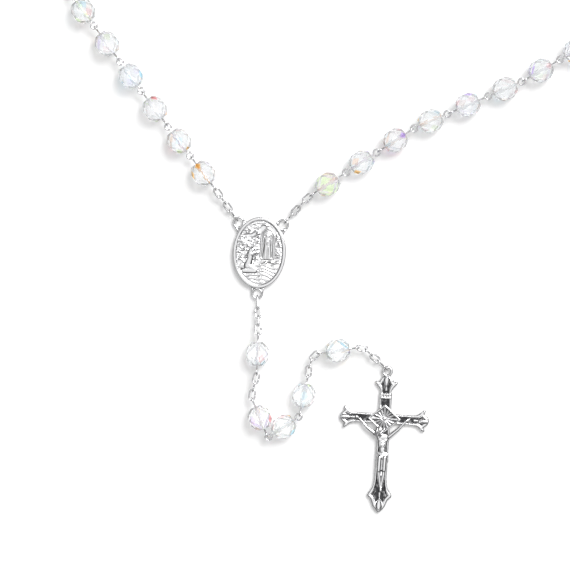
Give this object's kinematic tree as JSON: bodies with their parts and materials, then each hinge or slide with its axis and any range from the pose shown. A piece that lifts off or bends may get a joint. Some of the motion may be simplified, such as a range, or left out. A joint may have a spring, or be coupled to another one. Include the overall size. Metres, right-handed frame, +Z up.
{
  "type": "rosary",
  "caption": "Catholic rosary of clear faceted glass beads on pins and chain, with an oval centre medal that holds a relic and a crucifix on a pendant chain.",
  "frame": {"origin": "middle of the flat back face of the centre medal, which is the surface the rosary lies on", "axes": "+Z up from the surface, through the medal from back to front; +Y from the medal up into the loop; +X to the right as seen from above; the medal itself is turned 3 degrees clockwise"},
  "size_m": [0.2598, 0.4063, 0.0074],
  "materials": {
    "crystal": "clear faceted glass with a faint rainbow coat on some facets",
    "silver_wire": "polished silver-plated wire",
    "medal_silver": "silver-plated casting, polished rim and satin relief",
    "antique_silver": "antique silver casting, bright high points and dark recesses",
    "clear_window": "clear flat window",
    "white_card": "matt white card",
    "blue_cloth": "pale blue woven cloth"
  },
  "bodies": {
    "medal": {"medal": "medal_silver", "relic_bezel": "medal_silver", "relic_window": "clear_window", "relic_cloth": "blue_cloth", "relic_card": "white_card"},
    "jump_ring_left": {"jump_ring_left": "silver_wire"},
    "left_link_1": {"left_link_1": "silver_wire"},
    "left_link_2": {"left_link_2": "silver_wire"},
    "left_link_3": {"left_link_3": "silver_wire"},
    "jump_ring_right": {"jump_ring_right": "silver_wire"},
    "right_link_1": {"right_link_1": "silver_wire"},
    "right_link_2": {"right_link_2": "silver_wire"},
    "right_link_3": {"right_link_3": "silver_wire"},
    "left_strand_1": {"left_strand_1": "crystal"},
    "left_strand_2": {"left_strand_2": "crystal"},
    "left_strand_3": {"left_strand_3": "crystal"},
    "left_strand_4": {"left_strand_4": "crystal"},
    "left_strand_5": {"left_strand_5": "crystal"},
    "left_strand_6": {"left_strand_6": "crystal"},
    "left_strand_7": {"left_strand_7": "crystal"},
    "left_strand_8": {"left_strand_8": "crystal"},
    "left_strand_9": {"left_strand_9": "crystal"},
    "top_strand": {"top_strand": "crystal"},
    "right_strand_1": {"right_strand_1": "crystal"},
    "right_strand_2": {"right_strand_2": "crystal"},
    "right_strand_3": {"right_strand_3": "crystal"},
    "right_strand_4": {"right_strand_4": "crystal"},
    "right_strand_5": {"right_strand_5": "crystal"},
    "right_strand_6": {"right_strand_6": "crystal"},
    "right_strand_7": {"right_strand_7": "crystal"},
    "right_strand_8": {"right_strand_8": "crystal"},
    "right_strand_9": {"right_strand_9": "crystal"},
    "jump_ring_pendant": {"jump_ring_pendant": "silver_wire"},
    "pendant_link_1": {"pendant_link_1": "silver_wire"},
    "pendant_link_2": {"pendant_link_2": "silver_wire"},
    "pendant_link_3": {"pendant_link_3": "silver_wire"},
    "pendant_pin_1": {"pendant_pin_1": "silver_wire"},
    "pendant_bead_1": {"pendant_bead_1": "crystal"},
    "pendant_link_4": {"pendant_link_4": "silver_wire"},
    "pendant_link_5": {"pendant_link_5": "silver_wire"},
    "pendant_link_6": {"pendant_link_6": "silver_wire"},
    "pendant_pin_2": {"pendant_pin_2": "silver_wire"},
    "pendant_bead_2": {"pendant_bead_2": "crystal"},
    "pendant_pin_3": {"pendant_pin_3": "silver_wire"},
    "pendant_bead_3": {"pendant_bead_3": "crystal"},
    "pendant_pin_4": {"pendant_pin_4": "silver_wire"},
    "pendant_bead_4": {"pendant_bead_4": "crystal"},
    "pendant_link_7": {"pendant_link_7": "silver_wire"},
    "pendant_link_8": {"pendant_link_8": "silver_wire"},
    "pendant_link_9": {"pendant_link_9": "silver_wire"},
    "pendant_pin_5": {"pendant_pin_5": "silver_wire"},
    "pendant_bead_5": {"pendant_bead_5": "crystal"},
    "pendant_link_10": {"pendant_link_10": "silver_wire"},
    "pendant_link_11": {"pendant_link_11": "silver_wire"},
    "pendant_link_12": {"pendant_link_12": "silver_wire"},
    "jump_ring_crucifix": {"jump_ring_crucifix": "silver_wire"},
    "crucifix": {"crucifix": "antique_silver"}
  },
  "joints": [
    {"name": "loop_lift", "type": "hinge", "parent": "medal", "child": "jump_ring_left", "pos_m": [-0.00794, 0.01153, 0.00131], "axis": [0.9986, -0.0523, 0], "range_deg": [0, 50]},
    {"name": "loop_lift_right", "type": "hinge", "parent": "medal", "child": "jump_ring_right", "pos_m": [0.0091, 0.01064, 0.00131], "axis": [0.9986, -0.0523, 0], "range_deg": [0, 50]},
    {"name": "twist_left_link_1", "type": "hinge", "parent": "jump_ring_left", "child": "left_link_1", "pos_m": [-0.01075, 0.01554, 0.00232], "axis": [-0.5618, 0.8024, 0.2013], "range_deg": [-12, 12]},
    {"name": "twist_left_link_2", "type": "hinge", "parent": "jump_ring_left", "child": "left_link_2", "pos_m": [-0.01238, 0.01787, 0.0029], "axis": [-0.5618, 0.8024, 0.2013], "range_deg": [-12, 12]},
    {"name": "twist_left_link_3", "type": "hinge", "parent": "jump_ring_left", "child": "left_link_3", "pos_m": [-0.01401, 0.0202, 0.00348], "axis": [-0.5618, 0.8024, 0.2013], "range_deg": [-12, 12]},
    {"name": "twist_right_link_1", "type": "hinge", "parent": "jump_ring_right", "child": "right_link_1", "pos_m": [0.01233, 0.01432, 0.00232], "axis": [0.6554, 0.7279, 0.2013], "range_deg": [-12, 12]},
    {"name": "twist_right_link_2", "type": "hinge", "parent": "jump_ring_right", "child": "right_link_2", "pos_m": [0.01428, 0.01639, 0.0029], "axis": [0.6804, 0.7046, 0.2013], "range_deg": [-12, 12]},
    {"name": "twist_right_link_3", "type": "hinge", "parent": "jump_ring_right", "child": "right_link_3", "pos_m": [0.01628, 0.01841, 0.00348], "axis": [0.7046, 0.6804, 0.2013], "range_deg": [-12, 12]},
    {"name": "decade_swing_1", "type": "hinge", "parent": "jump_ring_left", "child": "left_strand_1", "pos_m": [-0.0146, 0.02104, 0.0037], "axis": [0, 0, 1], "range_deg": [-20, 20]},
    {"name": "decade_swing_1_back", "type": "hinge", "parent": "left_strand_1", "child": "left_strand_2", "pos_m": [-0.03982, 0.0545, 0.0037], "axis": [0, 0, 1], "range_deg": [-20, 20]},
    {"name": "decade_swing_2", "type": "hinge", "parent": "left_strand_2", "child": "left_strand_3", "pos_m": [-0.0635, 0.08711, 0.0037], "axis": [0, 0, 1], "range_deg": [-20, 20]},
    {"name": "decade_swing_2_back", "type": "hinge", "parent": "left_strand_3", "child": "left_strand_4", "pos_m": [-0.08055, 0.12538, 0.0037], "axis": [0, 0, 1], "range_deg": [-20, 20]},
    {"name": "decade_swing_3", "type": "hinge", "parent": "left_strand_4", "child": "left_strand_5", "pos_m": [-0.09298, 0.18124, 0.0037], "axis": [0, 0, 1], "range_deg": [-20, 20]},
    {"name": "decade_swing_3_back", "type": "hinge", "parent": "left_strand_5", "child": "left_strand_6", "pos_m": [-0.0886, 0.22291, 0.0037], "axis": [0, 0, 1], "range_deg": [-20, 20]},
    {"name": "decade_swing_4", "type": "hinge", "parent": "left_strand_6", "child": "left_strand_7", "pos_m": [-0.08157, 0.23373, 0.0037], "axis": [0, 0, 1], "range_deg": [-20, 20]},
    {"name": "decade_swing_4_back", "type": "hinge", "parent": "left_strand_7", "child": "left_strand_8", "pos_m": [-0.04529, 0.25468, 0.0037], "axis": [0, 0, 1], "range_deg": [-20, 20]},
    {"name": "decade_swing_5", "type": "hinge", "parent": "left_strand_8", "child": "left_strand_9", "pos_m": [0.00155, 0.28838, 0.0037], "axis": [0, 0, 1], "range_deg": [-20, 20]},
    {"name": "decade_swing_5_back", "type": "hinge", "parent": "left_strand_9", "child": "top_strand", "pos_m": [0.03669, 0.3112, 0.0037], "axis": [0, 0, 1], "range_deg": [-20, 20]},
    {"name": "decade_swing_5_far", "type": "hinge", "parent": "jump_ring_right", "child": "right_strand_1", "pos_m": [0.01702, 0.01912, 0.0037], "axis": [0, 0, 1], "range_deg": [-20, 20]},
    {"name": "decade_swing_5_far_back", "type": "hinge", "parent": "right_strand_1", "child": "right_strand_2", "pos_m": [0.05216, 0.04194, 0.0037], "axis": [0, 0, 1], "range_deg": [-20, 20]},
    {"name": "decade_swing_4_far", "type": "hinge", "parent": "right_strand_2", "child": "right_strand_3", "pos_m": [0.08911, 0.05801, 0.0037], "axis": [0, 0, 1], "range_deg": [-20, 20]},
    {"name": "decade_swing_4_far_back", "type": "hinge", "parent": "right_strand_3", "child": "right_strand_4", "pos_m": [0.1254, 0.07896, 0.0037], "axis": [0, 0, 1], "range_deg": [-20, 20]},
    {"name": "decade_swing_3_far", "type": "hinge", "parent": "right_strand_4", "child": "right_strand_5", "pos_m": [0.15579, 0.12576, 0.0037], "axis": [0, 0, 1], "range_deg": [-20, 20]},
    {"name": "decade_swing_3_far_back", "type": "hinge", "parent": "right_strand_5", "child": "right_strand_6", "pos_m": [0.16017, 0.16743, 0.0037], "axis": [0, 0, 1], "range_deg": [-20, 20]},
    {"name": "decade_swing_2_far", "type": "hinge", "parent": "right_strand_6", "child": "right_strand_7", "pos_m": [0.15815, 0.18017, 0.0037], "axis": [0, 0, 1], "range_deg": [-20, 20]},
    {"name": "decade_swing_2_far_back", "type": "hinge", "parent": "right_strand_7", "child": "right_strand_8", "pos_m": [0.14111, 0.21845, 0.0037], "axis": [0, 0, 1], "range_deg": [-20, 20]},
    {"name": "decade_swing_1_far", "type": "hinge", "parent": "right_strand_8", "child": "right_strand_9", "pos_m": [0.11214, 0.26831, 0.0037], "axis": [0, 0, 1], "range_deg": [-20, 20]},
    {"name": "pendant_lift", "type": "hinge", "parent": "medal", "child": "jump_ring_pendant", "pos_m": [-0.00064, -0.01547, 0.00131], "axis": [-0.9986, -0.0523, 0], "range_deg": [0, 40]},
    {"name": "pendant_link_1_turn", "type": "hinge", "parent": "jump_ring_pendant", "child": "pendant_link_1", "pos_m": [-0.00044, -0.01933, 0.00211], "axis": [0, 0, 1], "range_deg": [-30, 30]},
    {"name": "pendant_link_2_turn", "type": "hinge", "parent": "pendant_link_1", "child": "pendant_link_2", "pos_m": [-0.00037, -0.02139, 0.00253], "axis": [0, 0, -1], "range_deg": [-30, 30]},
    {"name": "pendant_link_3_turn", "type": "hinge", "parent": "pendant_link_2", "child": "pendant_link_3", "pos_m": [-0.00037, -0.02501, 0.00327], "axis": [0, 0, 1], "range_deg": [-30, 30]},
    {"name": "pendant_pin_1_turn", "type": "hinge", "parent": "pendant_link_3", "child": "pendant_pin_1", "pos_m": [-0.00037, -0.02707, 0.0037], "axis": [0, 0, -1], "range_deg": [-35, 35]},
    {"name": "pendant_link_4_turn", "type": "hinge", "parent": "pendant_pin_1", "child": "pendant_link_4", "pos_m": [-0.00088, -0.04156, 0.0037], "axis": [0, 0, 1], "range_deg": [-30, 30]},
    {"name": "pendant_link_5_turn", "type": "hinge", "parent": "pendant_link_4", "child": "pendant_link_5", "pos_m": [-0.00138, -0.0436, 0.0037], "axis": [0, 0, -1], "range_deg": [-30, 30]},
    {"name": "pendant_link_6_turn", "type": "hinge", "parent": "pendant_link_5", "child": "pendant_link_6", "pos_m": [-0.00228, -0.04719, 0.0037], "axis": [0, 0, 1], "range_deg": [-30, 30]},
    {"name": "pendant_pin_2_turn", "type": "hinge", "parent": "pendant_link_6", "child": "pendant_pin_2", "pos_m": [-0.00257, -0.04927, 0.0037], "axis": [0, 0, -1], "range_deg": [-35, 35]},
    {"name": "pendant_pin_3_turn", "type": "hinge", "parent": "pendant_pin_2", "child": "pendant_pin_3", "pos_m": [0.00286, -0.06271, 0.0037], "axis": [0, 0, 1], "range_deg": [-100, 4]},
    {"name": "pendant_pin_4_turn", "type": "hinge", "parent": "pendant_pin_3", "child": "pendant_pin_4", "pos_m": [0.01355, -0.0555, 0.0037], "axis": [0, 0, 1], "range_deg": [-60, 30]},
    {"name": "pendant_link_7_turn", "type": "hinge", "parent": "pendant_pin_4", "child": "pendant_link_7", "pos_m": [0.01657, -0.04131, 0.0037], "axis": [0, 0, 1], "range_deg": [-30, 30]},
    {"name": "pendant_link_8_turn", "type": "hinge", "parent": "pendant_link_7", "child": "pendant_link_8", "pos_m": [0.01672, -0.03922, 0.0037], "axis": [0, 0, -1], "range_deg": [-30, 30]},
    {"name": "pendant_link_9_turn", "type": "hinge", "parent": "pendant_link_8", "child": "pendant_link_9", "pos_m": [0.01798, -0.03574, 0.0037], "axis": [0, 0, 1], "range_deg": [-30, 30]},
    {"name": "pendant_pin_5_turn", "type": "hinge", "parent": "pendant_link_9", "child": "pendant_pin_5", "pos_m": [0.01944, -0.03423, 0.0037], "axis": [0, 0, -1], "range_deg": [-35, 35]},
    {"name": "pendant_link_10_turn", "type": "hinge", "parent": "pendant_pin_5", "child": "pendant_link_10", "pos_m": [0.0338, -0.03221, 0.0037], "axis": [0, 0, 1], "range_deg": [-20, 20]},
    {"name": "crucifix_chain_lift", "type": "hinge", "parent": "pendant_link_10", "child": "pendant_link_11", "pos_m": [0.03639, -0.03313, 0.00316], "axis": [-0.7071, -0.7071, 0], "range_deg": [0, 60]},
    {"name": "pendant_link_12_turn", "type": "hinge", "parent": "pendant_link_11", "child": "pendant_link_12", "pos_m": [0.0384, -0.03515, 0.00263], "axis": [0, 0, -1], "range_deg": [-20, 20]},
    {"name": "jump_ring_crucifix_turn", "type": "hinge", "parent": "pendant_link_12", "child": "jump_ring_crucifix", "pos_m": [0.04003, -0.03642, 0.00225], "axis": [0, 0, 1], "range_deg": [-20, 20]},
    {"name": "crucifix_lift", "type": "hinge", "parent": "jump_ring_crucifix", "child": "crucifix", "pos_m": [0.04355, -0.03886, 0.00135], "axis": [-0.9979, 0.0645, 0], "range_deg": [0, 55]},
    {"name": "spin_bead_1", "type": "hinge", "parent": "pendant_pin_1", "child": "pendant_bead_1", "pos_m": [-0.00062, -0.03431, 0.0037], "axis": [-0.0349, -0.9994, 0], "continuous": true},
    {"name": "spin_bead_2", "type": "hinge", "parent": "pendant_pin_2", "child": "pendant_bead_2", "pos_m": [0.00014, -0.05599, 0.0037], "axis": [0.3746, -0.9272, 0], "continuous": true},
    {"name": "spin_bead_3", "type": "hinge", "parent": "pendant_pin_3", "child": "pendant_bead_3", "pos_m": [0.00821, -0.0591, 0.0037], "axis": [0.829, 0.5592, 0], "continuous": true},
    {"name": "spin_bead_4", "type": "hinge", "parent": "pendant_pin_4", "child": "pendant_bead_4", "pos_m": [0.01506, -0.04841, 0.0037], "axis": [0.2079, 0.9781, 0], "continuous": true},
    {"name": "spin_bead_5", "type": "hinge", "parent": "pendant_pin_5", "child": "pendant_bead_5", "pos_m": [0.02662, -0.03322, 0.0037], "axis": [0.9903, 0.1392, 0], "continuous": true}
  ],
  "couplings": [
    {"joint": "loop_lift_right", "follows": "loop_lift", "ratio": 1},
    {"joint": "decade_swing_1_back", "follows": "decade_swing_1", "ratio": -1},
    {"joint": "decade_swing_2_back", "follows": "decade_swing_2", "ratio": -1},
    {"joint": "decade_swing_3_back", "follows": "decade_swing_3", "ratio": -1},
    {"joint": "decade_swing_4_back", "follows": "decade_swing_4", "ratio": -1},
    {"joint": "decade_swing_5_back", "follows": "decade_swing_5", "ratio": -1},
    {"joint": "decade_swing_5_far", "follows": "decade_swing_5", "ratio": 1},
    {"joint": "decade_swing_5_far_back", "follows": "decade_swing_5", "ratio": -1},
    {"joint": "decade_swing_4_far", "follows": "decade_swing_4", "ratio": 1},
    {"joint": "decade_swing_4_far_back", "follows": "decade_swing_4", "ratio": -1},
    {"joint": "decade_swing_3_far", "follows": "decade_swing_3", "ratio": 1},
    {"joint": "decade_swing_3_far_back", "follows": "decade_swing_3", "ratio": -1},
    {"joint": "decade_swing_2_far", "follows": "decade_swing_2", "ratio": 1},
    {"joint": "decade_swing_2_far_back", "follows": "decade_swing_2", "ratio": -1},
    {"joint": "decade_swing_1_far", "follows": "decade_swing_1", "ratio": 1}
  ]
}
